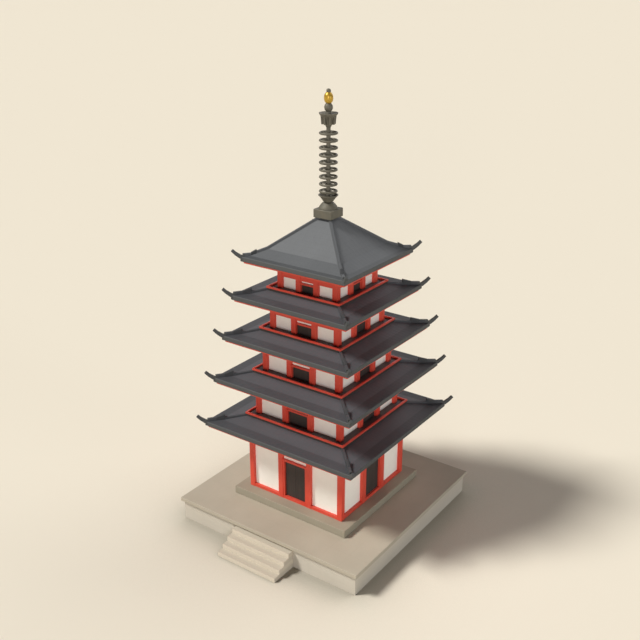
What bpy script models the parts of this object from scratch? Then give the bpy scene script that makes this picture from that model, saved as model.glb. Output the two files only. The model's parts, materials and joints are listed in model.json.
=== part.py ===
# Five-storey pagoda: stone terrace, red timber frame, plaster walls, grey roofs, bronze finial.
# Units are metres, +Z is up, the steps and the front doors face -Y.
# The origin is on the tower's axis at ground level, under the terrace.
import math

import bmesh
import bpy
from mathutils import Matrix, Vector

# Fit between pieces that touch
GAP = 0.0003

# Terrace, plinth and steps
TERRACE_HALF = 5.957
TERRACE_HEIGHT = 1.38
COPING_HALF = 6.106
COPING_THICK = 0.235
EDGE_BEVEL = 0.022
PLINTH_HALF = 3.86
PLINTH_TOP = 1.825
STEP_COUNT = 4
STEP_RISE = 0.265
STEP_TREAD = 0.41
STEP_HALF = 1.97

# Storeys: half distances between corner post axes, and roof levels
STOREYS = 5
POST_SPAN_HALF = 3.06
POST_SPAN_STEP = 0.3175
POST_HALF = 0.152
DOOR_POST_SHARE = 0.32
EAVE_HALF = 4.94
EAVE_STEP = 0.406
EAVE_TOP = 6.231
PITCH = 2.677
PITCH_STEP = 0.185
EAVE_THICK = 0.26
FLOOR_RISE = 0.31
FLOOR_THICK = 0.12

# Walls and beams, measured outwards from the post axes
WALL_OUT = -0.02
WALL_IN = -0.22
SILL_OUT = 0.135
SILL_TOP = 2.01
PORTAL_OUT = 0.12
BEAM_OUT = 0.13
BEAM_HEIGHT = 0.26
LINTEL_HEIGHT = 0.11

# Ground storey doorway and leaves
DOOR_HALF = 0.715
DOOR_HEAD = 4.248
PORTAL_HALF = 0.90
GROUND_BEAM = 4.95
LEAF_PLANE = -0.02
LEAF_THICK = 0.06
LEAF_SIDE_GAP = 0.006
LEAF_MEETING_GAP = 0.01
LEAF_END_GAP = 0.01
PIVOT_RADIUS = 0.02

# Upper storeys, listed from the second one up
UPPER_DOOR_HALF = (0.66, 0.58, 0.515, 0.415)
UPPER_DOOR_HEIGHT = (0.78, 0.685, 0.575, 0.445)
UPPER_BEAM_RISE = (1.11, 0.96, 0.82, 0.66)
UPPER_LINTEL_HEIGHT = 0.085
UPPER_LEAF_PLANE = 0.0
JAMB_IN = -0.12
UPPER_JAMB_TUCK = 0.05
RAIL_REACH = 0.585
RAIL_BAR = 0.095

# Eaves under each roof
SOFFIT_THICK = 0.11
SOFFIT_INSET = 0.12
BRACKET_REACH = (0.20, 0.50, 0.85)

# Roof surfaces
EAVE_CHAMFER = 0.025
KNEE_RUN = 0.70
KNEE_RISE = 0.05
TOP_ROOF_POINTS = ((3.0, 0.05), (2.308, 0.370), (0.289, 1.961))
ROOF_SHELL = 0.20
ATTIC_TOP_HALF = 0.32

# Hip ridges and corner hooks, measured from the roof surface and corner
RIDGE_WIDTH = 0.135
RIDGE_HEIGHT = 0.10
TOP_RIDGE_HEIGHT = 0.10
RIDGE_END = 0.95
TOP_RIDGE_END = 0.57
RIDGE_TUCK = 0.25
FOOT_RIDGE_WIDTH = 0.14
FOOT_RIDGE_START = 0.09
FOOT_RIDGE_RISE = (0.168, 0.20)
TOP_FOOT_RIDGE_RISE = (0.165, 0.185)
RIDGE_SINK = 0.07
HOOK_WIDTH = 0.12
HOOK_OUTLINE = (
    (-0.20, -0.10), (0.03, -0.09), (0.13, -0.01), (0.27, 0.10), (0.475, 0.32),
    (0.37, 0.43), (0.20, 0.27), (0.08, 0.19), (-0.05, 0.10), (-0.20, 0.06),
)

# Finial
BASE_HALF = 0.565
BASE_TOP = 18.245
DOME_RADIUS = 0.505
BOWL_BOTTOM = 18.56
BOWL_RIM = 18.98
BOWL_RADIUS = 0.53
BOWL_FLOOR = 18.80
MAST_RADIUS = 0.11
RING_COUNT = 9
RING_FIRST = 19.163
RING_PITCH = 0.3755
RING_RADIUS = 0.49
RING_BAR = 0.125
SPOKE_WIDTH = 0.06
VANE_BOTTOM = 22.448
VANE_TOP = 23.245
VANE_COUNT = 8
SPHERE_TOP = 23.655
SPHERE_RADIUS = 0.222
JEWEL_TOP = 24.19
JEWEL_RADIUS = 0.237
TIP_TOP = 24.365
TIP_RADIUS = 0.115
TURN_SIDES = 20

SIDES = ("front", "right", "back", "left")
CORNERS = ("front_right", "back_right", "back_left", "front_left")


def clear_scene():
    for item in list(bpy.data.objects):
        bpy.data.objects.remove(item, do_unlink=True)


def make_material(name, colour, roughness, metallic=0.0):
    material = bpy.data.materials.new(name)
    material.use_nodes = True
    shader = material.node_tree.nodes["Principled BSDF"]
    shader.inputs["Base Color"].default_value = (*colour, 1.0)
    shader.inputs["Roughness"].default_value = roughness
    shader.inputs["Metallic"].default_value = metallic
    return material


def make_object(name, mesh_builder, material=None, helper=False):
    mesh = bpy.data.meshes.new(name)
    bmesh.ops.recalc_face_normals(mesh_builder, faces=mesh_builder.faces)
    mesh_builder.to_mesh(mesh)
    mesh_builder.free()
    item = bpy.data.objects.new(name, mesh)
    bpy.context.scene.collection.objects.link(item)
    if material:
        mesh.materials.append(material)
    if helper:
        item.hide_render = True
        item.display_type = "WIRE"
    return item


def combine(target, tool, operation):
    modifier = target.modifiers.new(operation.title(), "BOOLEAN")
    modifier.operation = operation
    modifier.solver = "EXACT"
    modifier.object = tool


def bevel_edges(item, width):
    modifier = item.modifiers.new("Bevel", "BEVEL")
    modifier.width = width
    modifier.segments = 1
    modifier.limit_method = "ANGLE"
    modifier.angle_limit = math.radians(50)


def shade_round(item):
    item.data.shade_smooth()
    item.data.set_sharp_from_angle(angle=math.radians(35))


def side_turn(side):
    return Matrix.Rotation(side * math.pi / 2, 4, "Z")


# Shapes

def add_box(builder, x_range, y_range, z_range, turn=Matrix()):
    corners = [
        builder.verts.new(turn @ Vector((x, y, z)))
        for z in z_range for y in y_range for x in x_range
    ]
    for loop in ((0, 2, 3, 1), (4, 5, 7, 6), (0, 1, 5, 4), (1, 3, 7, 5), (3, 2, 6, 7), (2, 0, 4, 6)):
        builder.faces.new([corners[index] for index in loop])


def add_prism(builder, outline, place, near, far):
    # The outline is closed. place(a, b, depth) gives the point of outline point (a, b) at a depth.
    first = [builder.verts.new(place(a, b, near)) for a, b in outline]
    second = [builder.verts.new(place(a, b, far)) for a, b in outline]
    builder.faces.new(first)
    builder.faces.new(second)
    for index in range(len(outline)):
        after = (index + 1) % len(outline)
        builder.faces.new((first[index], first[after], second[after], second[index]))


def add_cylinder(builder, radius, z_range, sides=TURN_SIDES):
    circle = [
        (radius * math.cos(2 * math.pi * step / sides), radius * math.sin(2 * math.pi * step / sides))
        for step in range(sides)
    ]
    add_prism(builder, circle, lambda a, b, depth: Vector((a, b, depth)), *z_range)


def square_loops(builder, profile):
    # Each profile point (half width, height) becomes a square loop.
    loops = []
    for half, height in profile:
        corners = ((-half, -half), (half, -half), (half, half), (-half, half))
        loops.append([builder.verts.new((x, y, height)) for x, y in corners])
    return loops


def bridge(builder, lower, upper):
    for index in range(len(lower)):
        after = (index + 1) % len(lower)
        builder.faces.new((lower[index], lower[after], upper[after], upper[index]))


def square_ring(profile):
    builder = bmesh.new()
    loops = square_loops(builder, profile)
    for index in range(len(loops)):
        bridge(builder, loops[index], loops[(index + 1) % len(loops)])
    return builder


def square_solid(profile):
    builder = bmesh.new()
    loops = square_loops(builder, profile)
    for lower, upper in zip(loops, loops[1:]):
        bridge(builder, lower, upper)
    builder.faces.new(loops[0])
    builder.faces.new(loops[-1])
    return builder


def turned_solid(profile, sides=TURN_SIDES):
    # The profile runs from the bottom to the top, as (radius, height), off the axis.
    builder = bmesh.new()
    loops = []
    for radius, height in profile:
        loops.append([
            builder.verts.new((
                radius * math.cos(2 * math.pi * step / sides),
                radius * math.sin(2 * math.pi * step / sides),
                height,
            ))
            for step in range(sides)
        ])
    for lower, upper in zip(loops, loops[1:]):
        bridge(builder, lower, upper)
    builder.faces.new(loops[0])
    builder.faces.new(loops[-1])
    return builder


# Levels that follow from the driving dimensions. Storeys are numbered from 0 here.

def post_half(storey):
    return POST_SPAN_HALF - POST_SPAN_STEP * storey


def door_post(storey):
    # Half distance between the axes of the two posts beside a door.
    return post_half(storey) * DOOR_POST_SHARE


def eave_half(storey):
    return EAVE_HALF - EAVE_STEP * storey


def eave_top(storey):
    return EAVE_TOP + sum(PITCH - PITCH_STEP * below for below in range(storey))


def eave_bottom(storey):
    return eave_top(storey) - EAVE_THICK


def floor_top(storey):
    if storey == 0:
        return PLINTH_TOP
    return eave_top(storey - 1) + FLOOR_RISE


def beam_bottom(storey):
    if storey == 0:
        return GROUND_BEAM
    return floor_top(storey) + UPPER_BEAM_RISE[storey - 1]


def rail_half(storey):
    return post_half(storey) + RAIL_REACH


def post_places(storey):
    far = post_half(storey)
    near = door_post(storey)
    places = []
    for side in range(4):
        for along in (-far, -near, near):
            point = side_turn(side) @ Vector((along, -far, 0.0))
            places.append((point.x, point.y))
    return places


def add_post(builder, place, z_range, half=POST_HALF):
    add_box(builder, (place[0] - half, place[0] + half), (place[1] - half, place[1] + half), z_range)


def post_slots(name, storey, bottom, top):
    # Slots that let walls and sills fit around the posts.
    builder = bmesh.new()
    for place in post_places(storey):
        add_post(builder, place, (bottom, top), POST_HALF + GAP)
    return make_object(name, builder, helper=True)


# Stone base

def build_terrace(stone, paving):
    coping_bottom = TERRACE_HEIGHT - COPING_THICK
    base = square_solid(((TERRACE_HALF, 0.0), (TERRACE_HALF, coping_bottom - GAP)))
    make_object("terrace_wall", base, stone)
    slab = square_solid(((COPING_HALF, coping_bottom), (COPING_HALF, TERRACE_HEIGHT)))
    bevel_edges(make_object("terrace_coping", slab, paving), EDGE_BEVEL)
    plinth = square_solid(((PLINTH_HALF, TERRACE_HEIGHT + GAP), (PLINTH_HALF, PLINTH_TOP)))
    bevel_edges(make_object("plinth", plinth, paving), EDGE_BEVEL)


def build_steps(stone):
    wall = -TERRACE_HALF - GAP
    outline = [(wall, 0.0), (wall, STEP_COUNT * STEP_RISE)]
    for step in range(STEP_COUNT):
        height = (STEP_COUNT - step) * STEP_RISE
        front = wall - (step + 1) * STEP_TREAD
        outline.append((front, height))
        outline.append((front, height - STEP_RISE))
    builder = bmesh.new()
    add_prism(builder, outline, lambda a, b, depth: Vector((depth, a, b)), -STEP_HALF, STEP_HALF)
    make_object("front_steps", builder, stone)


# Ground storey

def build_sill(paint):
    half = post_half(0)
    low = PLINTH_TOP + GAP
    ring = square_ring((
        (half + WALL_IN, low), (half + SILL_OUT, low),
        (half + SILL_OUT, SILL_TOP), (half + WALL_IN, SILL_TOP),
    ))
    sill = make_object("ground_sill", ring, paint)
    combine(sill, post_slots("sill_slots", 0, PLINTH_TOP - 0.1, SILL_TOP + 0.1), "DIFFERENCE")


def portal_outline(inner, outer, bottom, head, top):
    # Two jambs under one lintel, as one outline in width and height.
    return (
        (-outer, bottom), (-inner, bottom), (-inner, head), (inner, head),
        (inner, bottom), (outer, bottom), (outer, top), (-outer, top),
    )


def build_doorways(paint):
    half = post_half(0)
    near = door_post(0)
    outline = portal_outline(DOOR_HALF, PORTAL_HALF, SILL_TOP + GAP, DOOR_HEAD, DOOR_HEAD + LINTEL_HEIGHT)
    for side, name in enumerate(SIDES):
        turn = side_turn(side)
        builder = bmesh.new()
        add_prism(
            builder, outline, lambda a, b, depth: turn @ Vector((a, depth, b)),
            -half - PORTAL_OUT, -half - WALL_IN,
        )
        doorway = make_object(name + "_doorway", builder, paint)
        posts = bmesh.new()
        for along in (-near, near):
            place = turn @ Vector((along, -half, 0.0))
            add_post(posts, place, (PLINTH_TOP + GAP, GROUND_BEAM - GAP))
        combine(doorway, make_object(name + "_posts", posts, helper=True), "UNION")


def build_ground_walls(plaster):
    half = post_half(0)
    outer = half + WALL_OUT
    inner = half + WALL_IN
    low = SILL_TOP + GAP
    high = GROUND_BEAM - GAP
    end = PORTAL_HALF + GAP
    slots = post_slots("wall_slots", 0, PLINTH_TOP, GROUND_BEAM + 0.1)
    corner = ((end, -outer), (outer, -outer), (outer, -end), (inner, -end), (inner, -inner), (end, -inner))
    for index, name in enumerate(CORNERS):
        turn = side_turn(index)
        builder = bmesh.new()
        add_prism(builder, corner, lambda a, b, depth: turn @ Vector((a, b, depth)), low, high)
        combine(make_object(name + "_wall", builder, plaster), slots, "DIFFERENCE")
    over = DOOR_HEAD + LINTEL_HEIGHT + GAP
    for side, name in enumerate(SIDES):
        builder = bmesh.new()
        add_box(builder, (-PORTAL_HALF, PORTAL_HALF), (-outer, -inner), (over, high), side_turn(side))
        combine(make_object(name + "_door_panel", builder, plaster), slots, "DIFFERENCE")


def build_ground_frame(paint):
    # The head beam all round, with the four corner posts under it.
    half = post_half(0)
    ring = square_ring((
        (half + WALL_IN, GROUND_BEAM), (half + BEAM_OUT, GROUND_BEAM),
        (half + BEAM_OUT, GROUND_BEAM + BEAM_HEIGHT), (half + WALL_IN, GROUND_BEAM + BEAM_HEIGHT),
    ))
    frame = make_object("ground_frame", ring, paint)
    posts = bmesh.new()
    for corner in range(4):
        place = side_turn(corner) @ Vector((half, -half, 0.0))
        add_post(posts, place, (PLINTH_TOP + GAP, GROUND_BEAM + BEAM_HEIGHT))
    combine(frame, make_object("corner_posts", posts, helper=True), "UNION")


def leaf_outline(direction):
    # Plan of a leaf about its pivot: a round heel, then a straight plank out to the meeting edge.
    heel = LEAF_THICK / 2
    reach = DOOR_HALF - LEAF_SIDE_GAP - heel - LEAF_MEETING_GAP / 2
    arc = [
        (-direction * heel * math.sin(math.pi * step / 8), heel * math.cos(math.pi * step / 8))
        for step in range(9)
    ]
    return arc + [(direction * reach, -heel), (direction * reach, heel)]


def build_leaves(wood):
    plane = post_half(0) + LEAF_PLANE
    pivot = DOOR_HALF - LEAF_SIDE_GAP - LEAF_THICK / 2
    low = SILL_TOP + LEAF_END_GAP
    high = DOOR_HEAD - LEAF_END_GAP
    for side, name in enumerate(SIDES):
        for hand, direction in (("left", 1), ("right", -1)):
            place = side_turn(side) @ Vector((-direction * pivot, -plane, 0.0))
            builder = bmesh.new()
            add_prism(builder, leaf_outline(direction), lambda a, b, depth: Vector((a, b, depth)), low, high)
            leaf = make_object(f"{name}_door_{hand}", builder, wood)
            pin = bmesh.new()
            add_cylinder(pin, PIVOT_RADIUS, (SILL_TOP + GAP, DOOR_HEAD - GAP), 12)
            pivot_pin = make_object(f"{name}_{hand}_pivot", pin, helper=True)
            for item in (leaf, pivot_pin):
                item.location = place
                item.rotation_euler.z = side * math.pi / 2
            combine(leaf, pivot_pin, "UNION")
            shade_round(leaf)


# Upper storeys

def build_floor(storey, wood):
    # A timber floor that reaches out as a balcony, with four closed doors standing on it.
    top = floor_top(storey)
    half = post_half(storey)
    edge = rail_half(storey)
    door = UPPER_DOOR_HALF[storey - 1] - GAP
    head = top + UPPER_DOOR_HEIGHT[storey - 1] - GAP
    slab = square_solid(((edge, top - FLOOR_THICK), (edge, top)))
    floor = make_object(f"storey_{storey + 1}_floor_and_doors", slab, wood)
    doors = bmesh.new()
    for side in range(4):
        plane = -half + UPPER_LEAF_PLANE
        depth = (plane, plane + LEAF_THICK)
        add_box(doors, (-door, door), depth, (top - FLOOR_THICK / 2, head), side_turn(side))
    combine(floor, make_object(f"storey_{storey + 1}_doors", doors, helper=True), "UNION")


def build_frame(storey, paint):
    half = post_half(storey)
    base = floor_top(storey) + GAP
    beam = beam_bottom(storey)
    head = floor_top(storey) + UPPER_DOOR_HEIGHT[storey - 1]
    ring = square_ring((
        (half + WALL_IN, beam), (half + BEAM_OUT, beam),
        (half + BEAM_OUT, beam + BEAM_HEIGHT), (half + WALL_IN, beam + BEAM_HEIGHT),
    ))
    frame = make_object(f"storey_{storey + 1}_frame", ring, paint)
    posts = bmesh.new()
    for place in post_places(storey):
        add_post(posts, place, (base, beam + BEAM_HEIGHT))
    combine(frame, make_object(f"storey_{storey + 1}_posts", posts, helper=True), "UNION")
    outline = portal_outline(
        UPPER_DOOR_HALF[storey - 1], door_post(storey) - UPPER_JAMB_TUCK,
        base, head, head + UPPER_LINTEL_HEIGHT,
    )
    portals = bmesh.new()
    for side in range(4):
        turn = side_turn(side)
        add_prism(
            portals, outline, lambda a, b, depth: turn @ Vector((a, depth, b)),
            -half - PORTAL_OUT, -half - JAMB_IN,
        )
    combine(frame, make_object(f"storey_{storey + 1}_portals", portals, helper=True), "UNION")


def build_walls(storey, plaster):
    half = post_half(storey)
    base = floor_top(storey)
    top = beam_bottom(storey) - GAP
    lintel = base + UPPER_DOOR_HEIGHT[storey - 1] + UPPER_LINTEL_HEIGHT + GAP
    ring = square_ring((
        (half + WALL_IN, base + GAP), (half + WALL_OUT, base + GAP),
        (half + WALL_OUT, top), (half + WALL_IN, top),
    ))
    walls = make_object(f"storey_{storey + 1}_walls", ring, plaster)
    openings = bmesh.new()
    door = door_post(storey) - UPPER_JAMB_TUCK + GAP
    for side in range(4):
        add_box(openings, (-door, door), (-half - 0.1, -half + 0.4), (base - 0.1, lintel), side_turn(side))
    combine(walls, make_object(f"storey_{storey + 1}_openings", openings, helper=True), "DIFFERENCE")
    combine(walls, post_slots(f"storey_{storey + 1}_slots", storey, base - 0.1, top + 0.1), "DIFFERENCE")


def build_rail(storey, paint):
    outer = rail_half(storey)
    inner = outer - RAIL_BAR
    low = floor_top(storey) + GAP
    high = low + RAIL_BAR
    ring = square_ring(((inner, low), (outer, low), (outer, high), (inner, high)))
    make_object(f"storey_{storey + 1}_rail", ring, paint)


# Eaves and roofs

def build_eaves(storey, paint):
    half = post_half(storey)
    low = beam_bottom(storey) + BEAM_HEIGHT + GAP
    high = eave_bottom(storey) - GAP
    soffit = high - SOFFIT_THICK
    middle = (low + soffit) / 2
    edge = eave_half(storey) - SOFFIT_INSET
    inner = half + WALL_IN
    first, second, third = (half + reach for reach in BRACKET_REACH)
    ring = square_ring((
        (inner, low), (first, low), (first, middle), (second, middle), (second, soffit),
        (third, soffit), (edge, soffit), (edge, high), (inner, high),
    ))
    make_object(f"eaves_{storey + 1}", ring, paint)


def surface_points(storey):
    # Points (half width, height) of the roof surface from the eave inwards.
    edge = eave_half(storey)
    top = eave_top(storey)
    if storey == STOREYS - 1:
        return [(edge, top)] + [(half, top + rise) for half, rise in TOP_ROOF_POINTS]
    platform = floor_top(storey + 1) - FLOOR_THICK - GAP
    return [(edge, top), (edge - KNEE_RUN, top + KNEE_RISE), (rail_half(storey + 1), platform)]


def surface_height(storey, half):
    points = surface_points(storey)
    for outer, inner in zip(points, points[1:]):
        if half >= inner[0]:
            share = (outer[0] - half) / (outer[0] - inner[0])
            return outer[1] + share * (inner[1] - outer[1])
    return points[-1][1]


def add_hip(builder, corner, outline, width):
    # The outline lies in the upright plane through the hip, as (distance from the axis, height).
    turn = Matrix.Rotation(-math.pi / 4 + corner * math.pi / 2, 4, "Z")
    add_prism(
        builder, outline, lambda a, b, depth: turn @ Vector((a, depth, b)),
        -width / 2, width / 2,
    )


def ridge_outline(storey, inner, outer, height):
    # A bar that follows the hip between two half widths and stands above the surface.
    knots = [half for half, _ in surface_points(storey) if inner < half < outer]
    halves = [outer] + knots + [inner]
    top = [(half * math.sqrt(2), surface_height(storey, half) + height) for half in halves]
    foot = [(half * math.sqrt(2), surface_height(storey, half) - RIDGE_SINK) for half in reversed(halves)]
    return top + foot


def foot_ridge_outline(storey, split, rise):
    # The last, nearly level bar between the end of the main ridge and the corner.
    edge = eave_half(storey)
    top = eave_top(storey)
    stations = ((edge - FOOT_RIDGE_START, rise[0]), (edge - 0.40, rise[1]), (split - 0.05, rise[1]))
    upper = [(half * math.sqrt(2), top + height) for half, height in stations]
    foot = [
        (half * math.sqrt(2), surface_height(storey, half) - RIDGE_SINK)
        for half, _ in reversed(stations)
    ]
    return upper + foot


def build_roof(storey, tiles):
    is_top = storey == STOREYS - 1
    edge = eave_half(storey)
    bottom = eave_bottom(storey)
    top = eave_top(storey)
    knee = edge - KNEE_RUN
    points = surface_points(storey)
    rim = [(knee, bottom), (edge - 0.02, bottom), (edge, bottom + 0.03), (edge, top - EAVE_CHAMFER)]
    rim.append((edge - EAVE_CHAMFER, top))
    if is_top:
        attic_top = surface_height(storey, ATTIC_TOP_HALF + ROOF_SHELL) - ROOF_SHELL
        attic_foot = (points[2][0] - ROOF_SHELL, points[2][1] - ROOF_SHELL)
        attic = [(ATTIC_TOP_HALF, attic_top), attic_foot, (edge - 1.15, bottom)]
        profile = attic + rim + points[1:]
        shell = square_solid(profile)
        limit = BASE_HALF
    else:
        hole = post_half(storey + 1) + WALL_IN
        profile = [(hole, bottom)] + rim + points[1:] + [(hole, points[-1][1])]
        shell = square_ring(profile)
        limit = rail_half(storey + 1)
    roof = make_object(f"roof_{storey + 1}", shell, tiles)
    split = edge - (TOP_RIDGE_END if is_top else RIDGE_END)
    height = TOP_RIDGE_HEIGHT if is_top else RIDGE_HEIGHT
    shapes = (
        ("main", ridge_outline(storey, limit - RIDGE_TUCK, split, height), RIDGE_WIDTH),
        ("foot", foot_ridge_outline(storey, split, TOP_FOOT_RIDGE_RISE if is_top else FOOT_RIDGE_RISE),
         FOOT_RIDGE_WIDTH),
        ("hook", [(edge * math.sqrt(2) + a, top + b) for a, b in HOOK_OUTLINE], HOOK_WIDTH),
    )
    for label, outline, width in shapes:
        builder = bmesh.new()
        for corner in range(4):
            add_hip(builder, corner, outline, width)
        combine(roof, make_object(f"roof_{storey + 1}_{label}", builder, helper=True), "UNION")
    clearing = bmesh.new()
    reach = limit + GAP
    add_box(clearing, (-reach, reach), (-reach, reach), (points[-1][1], points[-1][1] + 1.0))
    combine(roof, make_object(f"roof_{storey + 1}_clearing", clearing, helper=True), "DIFFERENCE")


# Finial

def build_finial_base(bronze):
    low = surface_points(STOREYS - 1)[-1][1] + GAP
    base = make_object("finial_base", square_solid(((BASE_HALF, low), (BASE_HALF, BASE_TOP))), bronze)
    bevel_edges(base, EDGE_BEVEL)


def build_finial_cups(bronze):
    low = BASE_TOP + GAP
    dome = [
        (DOME_RADIUS, low), (DOME_RADIUS, low + 0.03), (0.48, low + 0.09), (0.44, low + 0.16),
        (0.39, low + 0.22), (0.34, low + 0.27), (0.30, BOWL_BOTTOM - GAP),
    ]
    shade_round(make_object("finial_dome", turned_solid(dome), bronze))
    bowl = [
        (0.17, BOWL_BOTTOM), (0.20, BOWL_BOTTOM + 0.03), (0.28, BOWL_BOTTOM + 0.09),
        (0.34, BOWL_BOTTOM + 0.18), (0.41, BOWL_BOTTOM + 0.275), (0.49, BOWL_BOTTOM + 0.355),
        (BOWL_RADIUS, BOWL_RIM - 0.025), (BOWL_RADIUS - 0.01, BOWL_RIM), (BOWL_RADIUS - 0.07, BOWL_RIM),
        (0.36, BOWL_RIM - 0.11), (0.26, BOWL_FLOOR),
    ]
    shade_round(make_object("finial_bowl", turned_solid(bowl), bronze))


def build_mast(bronze):
    # A mast that carries the nine rings on cross-shaped spokes.
    builder = bmesh.new()
    add_cylinder(builder, MAST_RADIUS, (BOWL_FLOOR + GAP, VANE_BOTTOM - GAP), 16)
    mast = make_object("finial_mast_and_rings", builder, bronze)
    spokes = bmesh.new()
    rings = bmesh.new()
    arm = RING_RADIUS - RING_BAR / 2
    bar = SPOKE_WIDTH / 2
    cross = (
        (arm, -bar), (arm, bar), (bar, bar), (bar, arm), (-bar, arm), (-bar, bar),
        (-arm, bar), (-arm, -bar), (-bar, -bar), (-bar, -arm), (bar, -arm), (bar, -bar),
    )
    for ring in range(RING_COUNT):
        centre = RING_FIRST + ring * RING_PITCH
        add_prism(
            spokes, cross, lambda a, b, depth: Vector((a, b, depth)), centre - bar, centre + bar,
        )
        loops = []
        section = [
            (
                RING_RADIUS - RING_BAR / 2 + RING_BAR / 2 * math.cos(math.pi * step / 3),
                centre + RING_BAR / 2 * math.sin(math.pi * step / 3),
            )
            for step in range(6)
        ]
        for radius, height in section:
            loops.append([
                rings.verts.new((
                    radius * math.cos(2 * math.pi * step / TURN_SIDES),
                    radius * math.sin(2 * math.pi * step / TURN_SIDES),
                    height,
                ))
                for step in range(TURN_SIDES)
            ])
        for index in range(6):
            bridge(rings, loops[index], loops[(index + 1) % 6])
    combine(mast, make_object("finial_spokes", spokes, helper=True), "UNION")
    combine(mast, make_object("finial_ring_bars", rings, helper=True), "UNION")
    shade_round(mast)


def build_vanes(bronze):
    # A flared crown on a cone, with upright vanes round it.
    low = VANE_BOTTOM
    rim = VANE_TOP
    crown = turned_solid((
        (0.115, low), (0.15, low + 0.08), (0.22, low + 0.17), (0.25, low + 0.40),
        (0.34, low + 0.52), (0.44, low + 0.62), (0.487, rim - 0.11), (0.487, rim - 0.06),
        (0.44, rim - 0.065), (0.30, rim - 0.11), (0.16, rim - 0.11), (0.13, rim),
    ))
    vanes = make_object("finial_vanes", crown, bronze)
    outline = (
        (0.10, low + 0.14), (0.34, low + 0.16), (0.37, low + 0.19), (0.37, low + 0.45),
        (0.41, low + 0.58), (0.10, low + 0.56),
    )
    for label, first in (("long", 0), ("cross", 1)):
        builder = bmesh.new()
        for index in range(first, VANE_COUNT, 2):
            turn = Matrix.Rotation(2 * math.pi * index / VANE_COUNT, 4, "Z")
            add_prism(builder, outline, lambda a, b, depth: turn @ Vector((a, depth, b)), -0.04, 0.04)
        combine(vanes, make_object("vanes_" + label, builder, helper=True), "UNION")
    shade_round(vanes)


def build_jewels(bronze, gold):
    low = VANE_TOP + GAP
    high = SPHERE_TOP - GAP
    centre = (low + high) / 2
    start = math.asin((centre - low) / SPHERE_RADIUS * 0.92)
    ball = []
    for step in range(9):
        angle = -start + 2 * start * step / 8
        share = math.sin(angle) / math.sin(start)
        ball.append((SPHERE_RADIUS * math.cos(angle), centre + share * (high - low) / 2))
    shade_round(make_object("finial_sphere", turned_solid(ball), bronze))
    drop = [
        (0.13, SPHERE_TOP), (0.185, SPHERE_TOP + 0.05), (0.222, SPHERE_TOP + 0.14),
        (JEWEL_RADIUS, SPHERE_TOP + 0.25), (0.228, SPHERE_TOP + 0.35), (0.195, SPHERE_TOP + 0.44),
        (0.15, JEWEL_TOP - 0.03), (0.12, JEWEL_TOP),
    ]
    shade_round(make_object("finial_jewel", turned_solid(drop), gold))
    tip = [
        (TIP_RADIUS - 0.01, JEWEL_TOP + GAP), (TIP_RADIUS, JEWEL_TOP + 0.06),
        (TIP_RADIUS - 0.01, TIP_TOP - 0.05), (0.07, TIP_TOP - 0.01), (0.03, TIP_TOP),
    ]
    shade_round(make_object("finial_tip", turned_solid(tip, 16), bronze))


def build_pagoda():
    clear_scene()
    stone = make_material("light_stone", (0.60, 0.54, 0.40), 0.85)
    paving = make_material("taupe_stone", (0.44, 0.37, 0.27), 0.85)
    paint = make_material("vermilion_paint", (0.58, 0.05, 0.03), 0.55)
    plaster = make_material("white_plaster", (0.83, 0.76, 0.66), 0.9)
    wood = make_material("dark_wood", (0.045, 0.035, 0.03), 0.7)
    tiles = make_material("slate_tiles", (0.11, 0.105, 0.11), 0.7)
    bronze = make_material("bronze", (0.16, 0.14, 0.10), 0.45, 0.8)
    gold = make_material("gold", (0.72, 0.42, 0.03), 0.3, 1.0)
    build_terrace(stone, paving)
    build_steps(stone)
    build_sill(paint)
    build_doorways(paint)
    build_ground_walls(plaster)
    build_ground_frame(paint)
    build_leaves(wood)
    for storey in range(1, STOREYS):
        build_floor(storey, wood)
        build_frame(storey, paint)
        build_walls(storey, plaster)
        build_rail(storey, paint)
    for storey in range(STOREYS):
        build_eaves(storey, paint)
        build_roof(storey, tiles)
    build_finial_base(bronze)
    build_finial_cups(bronze)
    build_mast(bronze)
    build_vanes(bronze)
    build_jewels(bronze, gold)


build_pagoda()
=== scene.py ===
# %% [markdown]
# # A five-storey pagoda, dressed for its portrait
#
# The building arrives as a finished set of solids: a stone terrace, a red timber frame with
# white walls, five grey roofs and a bronze spire. This lesson gives every surface the finish
# of the real material, adds the small timber and bronze work that solids leave out, and then
# sets up the light and the camera.
#
# Everything is in metres. The steps and the front doors face -Y, and +Z is up.

# %% Load the building
import json
import math

import bpy
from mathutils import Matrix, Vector


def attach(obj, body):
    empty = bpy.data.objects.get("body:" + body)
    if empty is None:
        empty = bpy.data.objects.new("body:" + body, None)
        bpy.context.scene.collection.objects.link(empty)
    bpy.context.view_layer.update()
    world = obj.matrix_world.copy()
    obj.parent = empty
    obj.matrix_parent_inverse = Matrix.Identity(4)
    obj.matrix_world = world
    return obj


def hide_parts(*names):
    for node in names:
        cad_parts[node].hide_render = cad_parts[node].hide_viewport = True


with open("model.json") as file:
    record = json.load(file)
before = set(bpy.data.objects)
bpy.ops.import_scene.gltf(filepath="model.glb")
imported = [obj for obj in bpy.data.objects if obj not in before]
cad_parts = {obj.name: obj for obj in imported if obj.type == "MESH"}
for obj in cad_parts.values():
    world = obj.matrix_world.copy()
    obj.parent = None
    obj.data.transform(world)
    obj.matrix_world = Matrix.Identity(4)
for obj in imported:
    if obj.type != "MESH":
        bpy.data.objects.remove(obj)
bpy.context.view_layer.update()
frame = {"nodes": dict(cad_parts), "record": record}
nodes = frame["nodes"]
print("solids loaded:", len(nodes))

# %% [markdown]
# ## Camera
#
# The photo looks down on the tower from its front right corner. The three lines where walls
# meet the terrace gave the direction, and the height of the storeys gave the distance.
# A 50 mm lens on a 36 mm sensor keeps the upright posts almost parallel.

# %% Set up the camera
CAMERA_PLACE = (26.042, -37.084, 30.417)
CAMERA_PITCH = 67.794
CAMERA_HEADING = 35.623

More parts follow.
